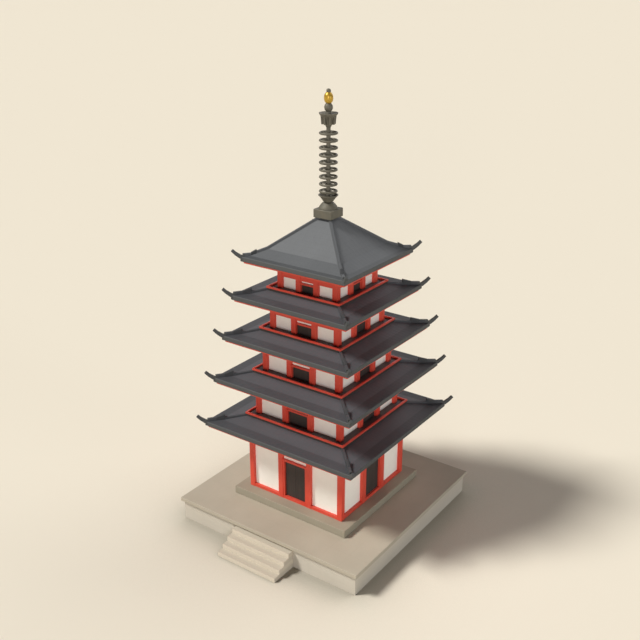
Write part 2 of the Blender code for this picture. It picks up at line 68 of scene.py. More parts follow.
camera_data = bpy.data.cameras.new("portrait_camera")
camera_data.lens = 50
camera_data.sensor_width = 36
camera_data.clip_end = 3000
camera = bpy.data.objects.new("portrait_camera", camera_data)
camera.location = CAMERA_PLACE
camera.rotation_euler = (math.radians(CAMERA_PITCH), 0, math.radians(CAMERA_HEADING))
bpy.context.scene.collection.objects.link(camera)
bpy.context.scene.camera = camera
print("camera height:", CAMERA_PLACE[2])

# %% [markdown]
# ## Light
#
# The photo was lit as small models often are: one broad, warm lamp high on the left, which
# throws the long soft shadow to the right, and pale reflectors that stand low around the
# model and lift its shaded sides. Here each one is a sun lamp with a wide disc, because a sun
# lamp lights the whole tower evenly. The sky itself adds next to nothing, so that the shadow
# on the floor stays deep, but it shows in the floor's own pale tone where a low view meets
# the horizon. The plain colour transform keeps the red paint as strong as it is on real timber.

# %% Set up the lights and the sky
def add_sun(name, heading, height, energy, width, colour):
    # Heading is the way the light travels over the ground, in degrees from +X towards +Y.
    light = bpy.data.lights.new(name, "SUN")
    light.energy = energy
    light.angle = math.radians(width)
    light.color = colour
    lamp = bpy.data.objects.new(name, light)
    flat = math.cos(math.radians(height))
    travel = Vector((
        math.cos(math.radians(heading)) * flat,
        math.sin(math.radians(heading)) * flat,
        -math.sin(math.radians(height)),
    ))
    lamp.rotation_euler = travel.to_track_quat("-Z", "Y").to_euler()
    bpy.context.scene.collection.objects.link(lamp)


bpy.context.scene.view_settings.view_transform = "Standard"
# Each lamp has its heading, its height over the horizon, its strength, the width of its disc
# and its colour. Angles are in degrees.
add_sun("key_lamp", 41, 48.5, 3.42, 14, (1.0, 0.985, 0.945))
add_sun("front_right_reflector", 120, 4, 1.28, 16, (1.0, 0.97, 0.97))
add_sun("right_reflector", 180, 4, 0.65, 16, (0.85, 0.93, 1.0))
add_sun("back_right_lamp", 240, 38, 0.60, 36, (1.0, 0.97, 0.93))
add_sun("back_reflector", 285, 10, 1.21, 60, (1.0, 0.98, 1.0))

SKY_GLOW = 0.03
SKY_COLOUR = (1.0, 0.98, 0.95, 1.0)
BACKDROP_COLOUR = (0.872, 0.790, 0.646, 1.0)

sky = bpy.data.worlds.new("studio_sky")
sky.use_nodes = True
sky_nodes = sky.node_tree.nodes
glow = sky_nodes["Background"]
glow.inputs["Color"].default_value = SKY_COLOUR
glow.inputs["Strength"].default_value = SKY_GLOW
backdrop = sky_nodes.new("ShaderNodeBackground")
backdrop.inputs["Color"].default_value = BACKDROP_COLOUR
either = sky_nodes.new("ShaderNodeMixShader")
seen_by_camera = sky_nodes.new("ShaderNodeLightPath").outputs["Is Camera Ray"]
sky.node_tree.links.new(seen_by_camera, either.inputs[0])
sky.node_tree.links.new(glow.outputs[0], either.inputs[1])
sky.node_tree.links.new(backdrop.outputs[0], either.inputs[2])
sky.node_tree.links.new(either.outputs[0], sky_nodes["World Output"].inputs["Surface"])
bpy.context.scene.world = sky
print("lights:", [item.name for item in bpy.data.lights])

# %% [markdown]
# ## Small helpers
#
# Operators act on whatever is selected, so each new piece starts from an empty selection.
# `turned` makes a bronze piece as a lathe does: it starts from one circle and then extrudes
# and scales it, station by station, up the profile.

# %% Selection and finishing helpers
def start_fresh():
    if bpy.context.mode != "OBJECT":
        bpy.ops.object.mode_set(mode="OBJECT")
    bpy.ops.object.select_all(action="DESELECT")


def pick(piece):
    # Makes this piece the only one selected, and the active one.
    start_fresh()
    piece.select_set(True)
    bpy.context.view_layer.objects.active = piece


def settle(piece):
    # Puts the piece's place into its mesh, so that its object sits at the origin.
    pick(piece)
    bpy.ops.object.transform_apply(location=True, rotation=True, scale=True)
    return piece


def apply_modifiers(piece):
    pick(piece)
    for modifier in list(piece.modifiers):
        bpy.ops.object.modifier_apply(modifier=modifier.name)


def face_outwards(piece):
    pick(piece)
    bpy.ops.object.mode_set(mode="EDIT")
    bpy.ops.mesh.select_all(action="SELECT")
    bpy.ops.mesh.remove_doubles(threshold=0.0001)
    bpy.ops.mesh.normals_make_consistent(inside=False)
    bpy.ops.object.mode_set(mode="OBJECT")


def smooth_edges_below(piece, degrees):
    pick(piece)
    bpy.ops.object.shade_smooth_by_angle(angle=math.radians(degrees))


def copied(piece, shift=(0.0, 0.0, 0.0), turn=0.0):
    pick(piece)
    bpy.ops.object.duplicate()
    copy = bpy.context.object
    copy.location = shift
    copy.rotation_euler = (0.0, 0.0, turn)
    return settle(copy)


def joined(name, pieces):
    start_fresh()
    for piece in pieces:
        piece.select_set(True)
    bpy.context.view_layer.objects.active = pieces[0]
    bpy.ops.object.join()
    pieces[0].name = name
    return pieces[0]


def turned(name, profile, sides=48):
    # The profile lists (radius, height) from the underside round to the last face.
    start_fresh()
    radius, height = profile[0]
    bpy.ops.mesh.primitive_circle_add(
        vertices=sides, radius=radius, fill_type="NGON", location=(0, 0, height),
    )
    piece = bpy.context.object
    piece.name = name
    bpy.ops.object.mode_set(mode="EDIT")
    bpy.ops.mesh.select_all(action="SELECT")
    for next_radius, next_height in profile[1:]:
        rise = (0, 0, next_height - height)
        bpy.ops.mesh.extrude_region_move(TRANSFORM_OT_translate={"value": rise})
        scale = next_radius / radius
        bpy.ops.transform.resize(value=(scale, scale, 1), center_override=(0, 0, next_height))
        radius, height = next_radius, next_height
    bpy.ops.object.mode_set(mode="OBJECT")
    settle(piece)
    face_outwards(piece)
    return piece


def bar(name, middle, size, edge=0.008):
    # A squared bar with softened edges.
    start_fresh()
    bpy.ops.mesh.primitive_cube_add(size=1, location=middle)
    piece = bpy.context.object
    piece.name = name
    piece.scale = size
    settle(piece)
    bpy.ops.object.mode_set(mode="EDIT")
    bpy.ops.mesh.select_all(action="SELECT")
    bpy.ops.mesh.bevel(offset=edge, segments=1, affect="EDGES")
    bpy.ops.object.mode_set(mode="OBJECT")
    return piece


print("helpers ready")

# %% [markdown]
# ## Shared surface effects
#
# Several finishes need the same things: a soft change of tone over metres, a fine grain, and
# straight lines such as joints between boards or tiles. Each is a node group with named
# inputs, built once and used with its own values in each material.

# %% Helpers that build node trees
def new_group(name, inputs, outputs):
    group = bpy.data.node_groups.new(name, "ShaderNodeTree")
    for label, kind, value in inputs:
        socket = group.interface.new_socket(label, in_out="INPUT", socket_type=kind)
        if value is not None:
            socket.default_value = value
    for label, kind in outputs:
        group.interface.new_socket(label, in_out="OUTPUT", socket_type=kind)
    start = group.nodes.new("NodeGroupInput")
    end = group.nodes.new("NodeGroupOutput")
    return group, start, end


def feed(tree, socket, value):
    # Connects a socket to the given one, or sets it to a number or a linear colour.
    if isinstance(value, bpy.types.NodeSocket):
        tree.links.new(value, socket)
    else:
        socket.default_value = value


def add(tree, kind, settings=None, **links):
    # Adds one node. Inputs go by their name, or by their number after an underscore.
    node = tree.nodes.new(kind)
    for key, value in (settings or {}).items():
        setattr(node, key, value)
    for key, value in links.items():
        feed(tree, node.inputs[int(key[1:]) if key[1:].isdigit() else key], value)
    return node


def maths(tree, operation, first, second=0.0):
    return add(tree, "ShaderNodeMath", {"operation": operation}, _0=first, _1=second).outputs[0]


def ramp(tree, value, low, high, first, last):
    # Turns values from low to high into values from first to last, and holds them beyond.
    return add(
        tree, "ShaderNodeMapRange", {"clamp": True},
        _0=value, _1=low, _2=high, _3=first, _4=last,
    ).outputs[0]


print("tree builders ready")

# %% Soft change of tone
tone_group, start, end = new_group(
    "soft_tone",
    [("Vector", "NodeSocketVector", None), ("Size", "NodeSocketFloat", 1.0)],
    [("Mask", "NodeSocketFloat")],
)
inverse = maths(tone_group, "DIVIDE", 1.0, start.outputs["Size"])
cloud = add(
    tone_group, "ShaderNodeTexNoise",
    Vector=start.outputs["Vector"], Scale=inverse, Detail=5.0, Roughness=0.6,
)
spread = ramp(tone_group, cloud.outputs[0], 0.32, 0.68, 0.0, 1.0)
tone_group.links.new(spread, end.inputs["Mask"])
print("group:", tone_group.name)

# %% Parallel lines, for joints between boards, stones and tiles
lines_group, start, end = new_group(
    "joint_lines",
    [("Along", "NodeSocketFloat", 0.0), ("Pitch", "NodeSocketFloat", 0.2),
     ("Width", "NodeSocketFloat", 0.01)],
    [("Line", "NodeSocketFloat"), ("Number", "NodeSocketFloat")],
)
share = maths(lines_group, "DIVIDE", start.outputs["Along"], start.outputs["Pitch"])
inside = maths(lines_group, "FRACT", share)
number = maths(lines_group, "FLOOR", share)
from_middle = maths(lines_group, "ABSOLUTE", maths(lines_group, "SUBTRACT", inside, 0.5))
to_line = maths(lines_group, "SUBTRACT", 0.5, from_middle)
from_line = maths(lines_group, "MULTIPLY", to_line, start.outputs["Pitch"])
line = add(
    lines_group, "ShaderNodeMapRange", {"clamp": True, "interpolation_type": "SMOOTHSTEP"},
    _0=from_line, _1=0.0, _2=start.outputs["Width"], _3=1.0, _4=0.0,
)
lines_group.links.new(line.outputs[0], end.inputs["Line"])
lines_group.links.new(number, end.inputs["Number"])
print("group:", lines_group.name)

# %% Wood grain that runs along one direction
grain_group, start, end = new_group(
    "wood_grain",
    [("Vector", "NodeSocketVector", None), ("Stretch", "NodeSocketVector", (1.0, 1.0, 1.0))],
    [("Grain", "NodeSocketFloat"), ("Streak", "NodeSocketFloat")],
)
stretched = add(
    grain_group, "ShaderNodeVectorMath", {"operation": "MULTIPLY"},
    _0=start.outputs["Vector"], _1=start.outputs["Stretch"],
)
fine = add(
    grain_group, "ShaderNodeTexNoise",
    Vector=stretched.outputs[0], Scale=6.0, Detail=6.0, Roughness=0.65,
)
broad = add(
    grain_group, "ShaderNodeTexNoise",
    Vector=stretched.outputs[0], Scale=1.2, Detail=3.0, Roughness=0.5,
)
grain_group.links.new(fine.outputs[0], end.inputs["Grain"])
grain_group.links.new(broad.outputs[0], end.inputs["Streak"])
print("group:", grain_group.name)

# %% Dust that settles in patches, most of it on faces that look up
dust_group, start, end = new_group(
    "settled_dust",
    [("Vector", "NodeSocketVector", None), ("Normal", "NodeSocketVector", None),
     ("Amount", "NodeSocketFloat", 0.3)],
    [("Mask", "NodeSocketFloat")],
)
facing = add(dust_group, "ShaderNodeSeparateXYZ", _0=start.outputs["Normal"]).outputs[2]
upward = ramp(dust_group, facing, 0.2, 1.0, 0.25, 1.0)
patches = add(
    dust_group, "ShaderNodeTexNoise",
    Vector=start.outputs["Vector"], Scale=1.7, Detail=7.0, Roughness=0.7,
)
patchy = ramp(dust_group, patches.outputs[0], 0.4, 0.75, 0.0, 1.0)
settled = maths(dust_group, "MULTIPLY", upward, patchy)
mask = maths(dust_group, "MULTIPLY", settled, start.outputs["Amount"])
dust_group.links.new(mask, end.inputs["Mask"])
print("group:", dust_group.name)

# %% [markdown]
# ## Materials
#
# `new_material` gives a Principled shader and the object's own coordinates. The colours are
# the paint, plaster and stone themselves, written as linear values, and the groups above then
# break each one up a little.

# %% Material helpers
def new_material(name, roughness, metallic=0.0):
    material = bpy.data.materials.new(name)
    material.use_nodes = True
    tree = material.node_tree
    shader = tree.nodes["Principled BSDF"]
    shader.inputs["Roughness"].default_value = roughness
    shader.inputs["Metallic"].default_value = metallic
    place = tree.nodes.new("ShaderNodeTexCoord").outputs["Object"]
    return material, tree, shader, place


def use_group(tree, group, **links):
    node = tree.nodes.new("ShaderNodeGroup")
    node.node_tree = group
    for key, value in links.items():
        feed(tree, node.inputs[key], value)
    return node


def mix(tree, factor, first, second):
    # Mixes two colours. Each is a socket or a linear colour.
    node = add(tree, "ShaderNodeMix", {"data_type": "RGBA"}, _0=factor)
    for socket, colour in ((node.inputs[6], first), (node.inputs[7], second)):
        feed(tree, socket, (*colour, 1.0) if isinstance(colour, tuple) else colour)
    return node.outputs[2]


BLACK = (0.0, 0.0, 0.0)


def scaled(colour, share):
    return tuple(share * part for part in colour)


def face_normal(tree):
    return tree.nodes.new("ShaderNodeTexCoord").outputs["Normal"]


def bump(tree, shader, height, distance, strength=1.0):
    node = add(tree, "ShaderNodeBump", Height=height, Distance=distance, Strength=strength)
    tree.links.new(node.outputs["Normal"], shader.inputs["Normal"])


def split(tree, vector):
    parts = add(tree, "ShaderNodeSeparateXYZ", _0=vector).outputs
    return parts[0], parts[1], parts[2]


print("material helpers ready")

# %% [markdown]
# ## Stone
#
# The terrace is pale dressed stone, and its top and the plinth are a browner paving. Both are
# large blocks with thin mortar joints. The joints are only a shallow groove and a slightly
# darker line, because from the photo's distance the stone reads as one smooth mass.

# %% Dressed stone
MORTAR = 0.012


def make_stone(name, light, dark, block, course):
    material, tree, shader, place = new_material(name, 0.86)
    x, y, z = split(tree, place)
    level = use_group(tree, lines_group, Along=z, Pitch=course, Width=MORTAR)
    shift = maths(tree, "MULTIPLY", level.outputs["Number"], block * 0.5)
    along_x = maths(tree, "ADD", x, shift)
    along_y = maths(tree, "ADD", y, shift)
    across = use_group(tree, lines_group, Along=along_x, Pitch=block, Width=MORTAR)
    down = use_group(tree, lines_group, Along=along_y, Pitch=block, Width=MORTAR)
    joints = maths(tree, "MAXIMUM", across.outputs["Line"], down.outputs["Line"])
    joints = maths(tree, "MAXIMUM", joints, level.outputs["Line"])
    tone = use_group(tree, tone_group, Vector=place, Size=1.6)
    speckle = add(tree, "ShaderNodeTexNoise", Vector=place, Scale=38.0, Detail=4.0, Roughness=0.7)
    speckle_mask = ramp(tree, speckle.outputs[0], 0.35, 0.7, 0.0, 0.35)
    colour = mix(tree, tone.outputs["Mask"], light, dark)
    colour = mix(tree, speckle_mask, colour, scaled(dark, 0.9))
    colour = mix(tree, maths(tree, "MULTIPLY", joints, 0.22), colour, scaled(dark, 0.6))
    tree.links.new(colour, shader.inputs["Base Color"])
    grains = maths(tree, "MULTIPLY", speckle.outputs[0], 0.3)
    relief = maths(tree, "SUBTRACT", grains, maths(tree, "MULTIPLY", joints, 0.8))
    bump(tree, shader, relief, 0.003, 0.35)
    return material


pale_stone = make_stone(
    "pale_dressed_stone", (0.550, 0.506, 0.428), (0.520, 0.474, 0.396), block=1.5, course=0.382,
)
step_stone = make_stone(
    "worn_step_stone", (0.632, 0.566, 0.460), (0.606, 0.540, 0.434), block=1.97, course=0.265,
)
paving_stone = make_stone(
    "brown_paving_stone", (0.464, 0.416, 0.327), (0.433, 0.384, 0.299), block=1.22, course=5.0,
)
plinth_stone = make_stone(
    "plinth_stone", (0.328, 0.294, 0.222), (0.304, 0.271, 0.202), block=1.22, course=5.0,
)
print("stones:", pale_stone.name, step_stone.name, paving_stone.name, plinth_stone.name)

# %% [markdown]
# ## Painted timber
#
# Posts, beams, rails and eaves are timber under many coats of red lead paint. The paint fades
# a little in patches, the grain still shows as a fine relief, and grey dust lies on the tops.

# %% Red painted timber
PAINT_DUST = (0.42, 0.27, 0.20)


def make_paint(name, fresh, faded):
    material, tree, shader, place = new_material(name, 0.5)
    tone = use_group(tree, tone_group, Vector=place, Size=0.8)
    grain = use_group(tree, grain_group, Vector=place, Stretch=(9.0, 9.0, 1.2))
    dust = use_group(tree, dust_group, Vector=place, Normal=face_normal(tree), Amount=0.16)
    colour = mix(tree, tone.outputs["Mask"], fresh, faded)
    streak = maths(tree, "MULTIPLY", grain.outputs["Streak"], 0.25)
    colour = mix(tree, streak, colour, scaled(fresh, 0.72))
    colour = mix(tree, dust.outputs["Mask"], colour, PAINT_DUST)
    tree.links.new(colour, shader.inputs["Base Color"])
    rough = ramp(tree, tone.outputs["Mask"], 0.0, 1.0, 0.42, 0.6)
    tree.links.new(rough, shader.inputs["Roughness"])
    bump(tree, shader, grain.outputs["Grain"], 0.003, 0.5)
    return material


red_paint = make_paint("vermilion_timber", (0.66, 0.054, 0.029), (0.71, 0.082, 0.046))
print("paint:", red_paint.name)

# %% [markdown]
# ## Plaster
#
# The wall panels are lime plaster, trowelled smooth and warm white. Wide, faint clouds and a
# slight trowel relief keep the panels from looking like paper.

# %% Lime plaster
def make_plaster(name, light, dark):
    material, tree, shader, place = new_material(name, 0.9)
    tone = use_group(tree, tone_group, Vector=place, Size=1.3)
    trowel = add(
        tree, "ShaderNodeTexNoise",
        Vector=place, Scale=3.2, Detail=7.0, Roughness=0.55, Distortion=0.8,
    )
    grit = add(tree, "ShaderNodeTexNoise", Vector=place, Scale=90.0, Detail=2.0)
    marks = ramp(tree, trowel.outputs[0], 0.3, 0.7, 0.0, 0.4)
    colour = mix(tree, tone.outputs["Mask"], light, dark)
    colour = mix(tree, marks, colour, scaled(dark, 0.95))
    tree.links.new(colour, shader.inputs["Base Color"])
    relief = maths(tree, "ADD", trowel.outputs[0], maths(tree, "MULTIPLY", grit.outputs[0], 0.15))
    bump(tree, shader, relief, 0.006, 0.35)
    return material


lime_plaster = make_plaster("lime_plaster", (0.928, 0.907, 0.832), (0.898, 0.873, 0.793))
print("plaster:", lime_plaster.name)

# %% [markdown]
# ## Dark timber
#
# The door leaves are upright planks and the balcony floors are boards laid along each side.
# One material does both: it picks the direction of the joints from the way a face looks.

# %% Dark planks and boards
PLANK_WIDTH = 0.17
PLANK_JOINT = 0.010
JOINT_TONE = (0.008, 0.006, 0.005)


def make_planks(name, light, dark, boards):
    material, tree, shader, place = new_material(name, 0.62)
    x, y, _ = split(tree, place)
    side_x, _, up = split(tree, face_normal(tree))
    looks_along_x = maths(tree, "GREATER_THAN", maths(tree, "ABSOLUTE", side_x), 0.5)
    flat = maths(tree, "GREATER_THAN", maths(tree, "ABSOLUTE", up), 0.5)
    across = add(tree, "ShaderNodeMix", _0=looks_along_x, _2=x, _3=y).outputs[0]
    rim = maths(tree, "MAXIMUM", maths(tree, "ABSOLUTE", x), maths(tree, "ABSOLUTE", y))
    measure = add(tree, "ShaderNodeMix", _0=flat, _2=across, _3=rim).outputs[0]
    joint = use_group(tree, lines_group, Along=measure, Pitch=PLANK_WIDTH, Width=PLANK_JOINT)
    grain = use_group(tree, grain_group, Vector=place, Stretch=(5.0, 5.0, 1.0))
    number = joint.outputs["Number"]
    plank_tone = add(tree, "ShaderNodeTexWhiteNoise", {"noise_dimensions": "1D"}, W=number)
    colour = mix(tree, plank_tone.outputs[0], light, dark)
    colour = mix(tree, flat, colour, boards)
    streak = maths(tree, "MULTIPLY", grain.outputs["Streak"], 0.5)
    colour = mix(tree, streak, colour, scaled(dark, 0.7))
    colour = mix(tree, maths(tree, "MULTIPLY", joint.outputs["Line"], 0.7), colour, JOINT_TONE)
    tree.links.new(colour, shader.inputs["Base Color"])
    ribs = maths(tree, "MULTIPLY", grain.outputs["Grain"], 0.35)
    relief = maths(tree, "SUBTRACT", ribs, joint.outputs["Line"])
    bump(tree, shader, relief, 0.004, 0.8)
    return material


dark_planks = make_planks(
    "dark_stained_planks", (0.047, 0.036, 0.030), (0.038, 0.029, 0.025), (0.085, 0.079, 0.079),
)
print("planks:", dark_planks.name)

# %% [markdown]
# ## Roof tiles
#
# Each roof is laid in straight columns of curved grey tiles that run from the eave to the
# ridge, with a cover row over every joint. From far away they merge into one soft grey
# slope, so the columns here are a fine relief and a very small change of tone.
#
# Inside one slope, the distance from the tower's axis gives the course, and the distance
# along the eave gives the column. The hip ridges are a little darker: partly their own tiles,
# partly painted shade for their shaded sides. The upright eave ends and the corner hooks are
# darker too, where rain and moss have left a trace of green, and the same dark tone on the
# eave's chamfer is painted shade that hides its highlight. The flat strip along each eave is
# painted darker than the slope above it, as painted shade where the slope flattens, so the tone
# steps down there.

# %% Grey roof tiles
TILE_COLUMN = 0.30
TILE_COURSE = 0.26
COVER_ROW = 0.075
COURSE_LINE = 0.018
RIDGE_HALF = 0.110
STRIP_FADE = 0.03
FASCIA_DEPTH = 0.03
HOOK_LENGTH = 0.13
# A face whose normal rises more steeply than this counts as a slope, not as an upright end. The
# eave's chamfer falls below it, so it takes the dark edge tone: painted shade that hides its
# highlight.
SLOPE_FACES_UP = 0.85
# Not a whole number, so that each tile of a slope has its own number and its own tone
COLUMN_STEP = 17.3


def make_tiles(name, light, dark, ridge, edge_and_chamfer_tone, eave, shade_strips):
    # The shade strips are (distance from the axis, brightness beyond it) pairs, from the inner one
    # out. The darkening beyond each distance is painted shade.
    material, tree, shader, place = new_material(name, 0.66)
    x, y, _ = split(tree, place)
    wide_x = maths(tree, "ABSOLUTE", x)
    wide_y = maths(tree, "ABSOLUTE", y)
    facing_x = maths(tree, "GREATER_THAN", wide_x, wide_y)
    along = add(tree, "ShaderNodeMix", _0=facing_x, _2=x, _3=y).outputs[0]
    out = maths(tree, "MAXIMUM", wide_x, wide_y)
    cover = use_group(tree, lines_group, Along=along, Pitch=TILE_COLUMN, Width=COVER_ROW)
    course = use_group(tree, lines_group, Along=out, Pitch=TILE_COURSE, Width=COURSE_LINE)
    off_hip = maths(tree, "ABSOLUTE", maths(tree, "SUBTRACT", wide_x, wide_y))
    hip = ramp(tree, off_hip, RIDGE_HALF - 0.005, RIDGE_HALF + 0.010, 1.0, 0.0)
    open_slope = maths(tree, "SUBTRACT", 1.0, hip)
    tone = use_group(tree, tone_group, Vector=place, Size=2.2)
    column = maths(tree, "MULTIPLY", cover.outputs["Number"], COLUMN_STEP)
    number = maths(tree, "ADD", column, course.outputs["Number"])
    tile_tone = add(tree, "ShaderNodeTexWhiteNoise", {"noise_dimensions": "1D"}, W=number)
    grit = add(tree, "ShaderNodeTexNoise", Vector=place, Scale=45.0, Detail=4.0)
    colour = mix(tree, tone.outputs["Mask"], light, dark)
    colour = mix(tree, maths(tree, "MULTIPLY", tile_tone.outputs[0], 0.18), colour, dark)
    lines = maths(tree, "MULTIPLY", course.outputs["Line"], open_slope)
    colour = mix(tree, maths(tree, "MULTIPLY", lines, 0.12), colour, scaled(dark, 0.5))
    # Beyond each strip's distance the colour darkens: painted shade where the slope flattens.
    for inner, shaded_brightness in shade_strips:
        beyond = ramp(tree, out, inner - STRIP_FADE, inner + STRIP_FADE, 0.0, 1.0 - shaded_brightness)
        colour = mix(tree, beyond, colour, BLACK)
    # The ridge tone is partly the ridge tiles' own colour and partly painted shade for their
    # shaded sides.
    colour = mix(tree, hip, colour, ridge)
    up = split(tree, face_normal(tree))[2]
    upright_or_chamfer = maths(tree, "LESS_THAN", maths(tree, "ABSOLUTE", up), SLOPE_FACES_UP)
    at_eave = maths(tree, "GREATER_THAN", out, eave - FASCIA_DEPTH)
    at_corner = maths(tree, "GREATER_THAN", out, eave - HOOK_LENGTH)
    fascia_and_shaded_chamfer = maths(tree, "MULTIPLY", upright_or_chamfer, at_eave)
    hook = maths(tree, "MULTIPLY", hip, at_corner)
    colour = mix(tree, maths(tree, "MAXIMUM", fascia_and_shaded_chamfer, hook), colour, edge_and_chamfer_tone)
    tree.links.new(colour, shader.inputs["Base Color"])
    columns = maths(tree, "MULTIPLY", cover.outputs["Line"], open_slope)
    relief = maths(tree, "SUBTRACT", columns, maths(tree, "MULTIPLY", lines, 0.5))
    relief = maths(tree, "ADD", relief, maths(tree, "MULTIPLY", grit.outputs[0], 0.08))
    bump(tree, shader, relief, 0.03, 0.12)
    return material


print("tile column and course:", TILE_COLUMN, TILE_COURSE)

# %% [markdown]
# ## Bronze and gilding
#
# The spire is cast bronze that has weathered to a grey brown with a trace of green in the
# hollows, so it is rough and only a little metallic. Only the jewel near the tip is gilded.

# %% Weathered bronze and gold
def make_bronze(name, worn, patina):
    material, tree, shader, place = new_material(name, 0.6, 0.2)
    tone = use_group(tree, tone_group, Vector=place, Size=0.35)
    pits = add(tree, "ShaderNodeTexNoise", Vector=place, Scale=26.0, Detail=5.0, Roughness=0.7)
    colour = mix(tree, tone.outputs["Mask"], worn, patina)
    tree.links.new(colour, shader.inputs["Base Color"])
    rough = ramp(tree, tone.outputs["Mask"], 0.0, 1.0, 0.54, 0.70)
    tree.links.new(rough, shader.inputs["Roughness"])
    bump(tree, shader, pits.outputs[0], 0.002, 0.5)
    return material


def make_gold(name, bright, deep):
    material, tree, shader, place = new_material(name, 0.38, 0.45)
    tone = use_group(tree, tone_group, Vector=place, Size=0.2)
    colour = mix(tree, tone.outputs["Mask"], bright, deep)
    tree.links.new(colour, shader.inputs["Base Color"])
    leaf = add(tree, "ShaderNodeTexNoise", Vector=place, Scale=30.0, Detail=3.0)
    bump(tree, shader, leaf.outputs[0], 0.001, 0.4)
    return material


weathered_bronze = make_bronze("weathered_bronze", (0.143, 0.129, 0.096), (0.121, 0.114, 0.088))
gilding = make_gold("gilded_bronze", (0.53, 0.325, 0.036), (0.47, 0.280, 0.030))
print("metals:", weathered_bronze.name, gilding.name)

# %% [markdown]
# ## Dressing the solids
#
# Every solid keeps its shape and takes one of the finishes. The record says which slot each
# node belongs to, so the finish is chosen by slot. Each roof has tiles of its own, because its
# eave lies nearer the axis than the one below. The top roof is the palest; the lower roofs'
# darker tiles are painted shade for the shade that the roofs above throw on them.

# %% Give each solid its finish
EAVE_HALF = 4.94
EAVE_STEP = 0.406
STOREYS = 5
# The eave strip's darker tone is painted shade where the slope flattens; the top roof has two such
# steps.
EAVE_STRIP = 0.65
EAVE_STRIP_SHADE_BRIGHTNESS = 0.75
TOP_ROOF_SHADE_STRIPS = ((2.308, 0.91), (3.0, 0.72))
# Two tones of the slope, then the ridges, darkened partly as painted shade, and the eave ends,
# whose dark tone is painted shade on the eave's chamfer
TOP_ROOF_TONES = (
    (0.122, 0.129, 0.138), (0.107, 0.113, 0.121), (0.098, 0.103, 0.110), (0.066, 0.070, 0.071),
)
# The lower roofs' slope tones are darker than the top roof's: painted shade for the shade of the
# roofs above.
LOWER_ROOF_SHADED_TONES = (
    (0.080, 0.085, 0.095), (0.071, 0.075, 0.084), (0.054, 0.057, 0.063), (0.057, 0.060, 0.061),
)

finishes = {
    "light_stone": pale_stone, "taupe_stone": paving_stone, "vermilion_paint": red_paint,
    "white_plaster": lime_plaster, "dark_wood": dark_planks, "bronze": weathered_bronze,
    "gold": gilding,
}
for row in frame["record"]["subparts"]:
    if row["material_slot"] in finishes:
        for slot in nodes[row["node"]].material_slots:
            slot.material = finishes[row["material_slot"]]

for name, stone in (("plinth", plinth_stone), ("front_steps", step_stone)):
    for slot in nodes[name].material_slots:
        slot.material = stone

for storey in range(STOREYS):
    eave = EAVE_HALF - EAVE_STEP * storey
    if storey == STOREYS - 1:
        tones, shade_strips = TOP_ROOF_TONES, TOP_ROOF_SHADE_STRIPS
    else:
        tones, shade_strips = LOWER_ROOF_SHADED_TONES, ((eave - EAVE_STRIP, EAVE_STRIP_SHADE_BRIGHTNESS),)
    tiles = make_tiles(f"grey_tiles_{storey + 1}", *tones, eave, shade_strips)
    for slot in nodes[f"roof_{storey + 1}"].material_slots:
        slot.material = tiles
print("finishes given to", len(nodes), "solids")

# %% [markdown]
# ## Rafters under the eaves
#
# On the real tower each roof rests on close-set rafters that reach out over the brackets. The
# solids show only a plain soffit, so from below the eaves would look like a flat board. One
# rafter is made as a squared bar, an array repeats it along the front, and two slanted cuts
# trim the row to the hips. The other three sides are turned copies of the first, and a
# stouter hip rafter covers the cut ends at each corner. The rafters stop behind the eave
# board, which hides their ends from above, as in the photo.

# %% One side of rafters
EAVE_TOP = 6.231
PITCH = 2.677
PITCH_STEP = 0.185
EAVE_THICK = 0.26
SOFFIT_THICK = 0.11
SOFFIT_INSET = 0.12
GAP = 0.0003
POST_SPAN_HALF = 3.06
POST_SPAN_STEP = 0.3175
RAFTER_START = 0.52
RAFTER_WIDTH = 0.09
RAFTER_DEPTH = 0.075
RAFTER_SPACING = 0.28
RAFTER_SETBACK = 0.27
HIP_RAFTER_WIDTH = 0.13
HIP_RAFTER_DEEPER = 0.016
HIP_RAFTER_SHORTER = 0.08


def eave_top(storey):
    return EAVE_TOP + sum(PITCH - PITCH_STEP * below for below in range(storey))


def soffit_height(storey):
    return eave_top(storey) - EAVE_THICK - SOFFIT_THICK - GAP


def trim_beyond(piece, normal):
    # Cuts along an upright plane through the tower's axis and closes the cut.
    pick(piece)
    bpy.ops.object.mode_set(mode="EDIT")
    bpy.ops.mesh.select_all(action="SELECT")
    bpy.ops.mesh.bisect(plane_co=(0, 0, 0), plane_no=normal, use_fill=True, clear_outer=True)
    bpy.ops.object.mode_set(mode="OBJECT")


def rafter_row(storey, near, far, height):
    count = 2 * int((far - RAFTER_WIDTH) / RAFTER_SPACING) + 1
    first = -(count - 1) / 2 * RAFTER_SPACING
    middle = (first, -(near + far) / 2, height)
    row = bar(f"rafter_row_{storey + 1}", middle, (RAFTER_WIDTH, far - near, RAFTER_DEPTH))
    array = row.modifiers.new("Repeat", "ARRAY")
    array.count = count
    array.use_relative_offset = False
    array.use_constant_offset = True
    array.constant_offset_displace = (RAFTER_SPACING, 0, 0)
    apply_modifiers(row)
    trim_beyond(row, (1, 1, 0))
    trim_beyond(row, (-1, 1, 0))
    return row


print("rafters are", RAFTER_SPACING, "m apart")

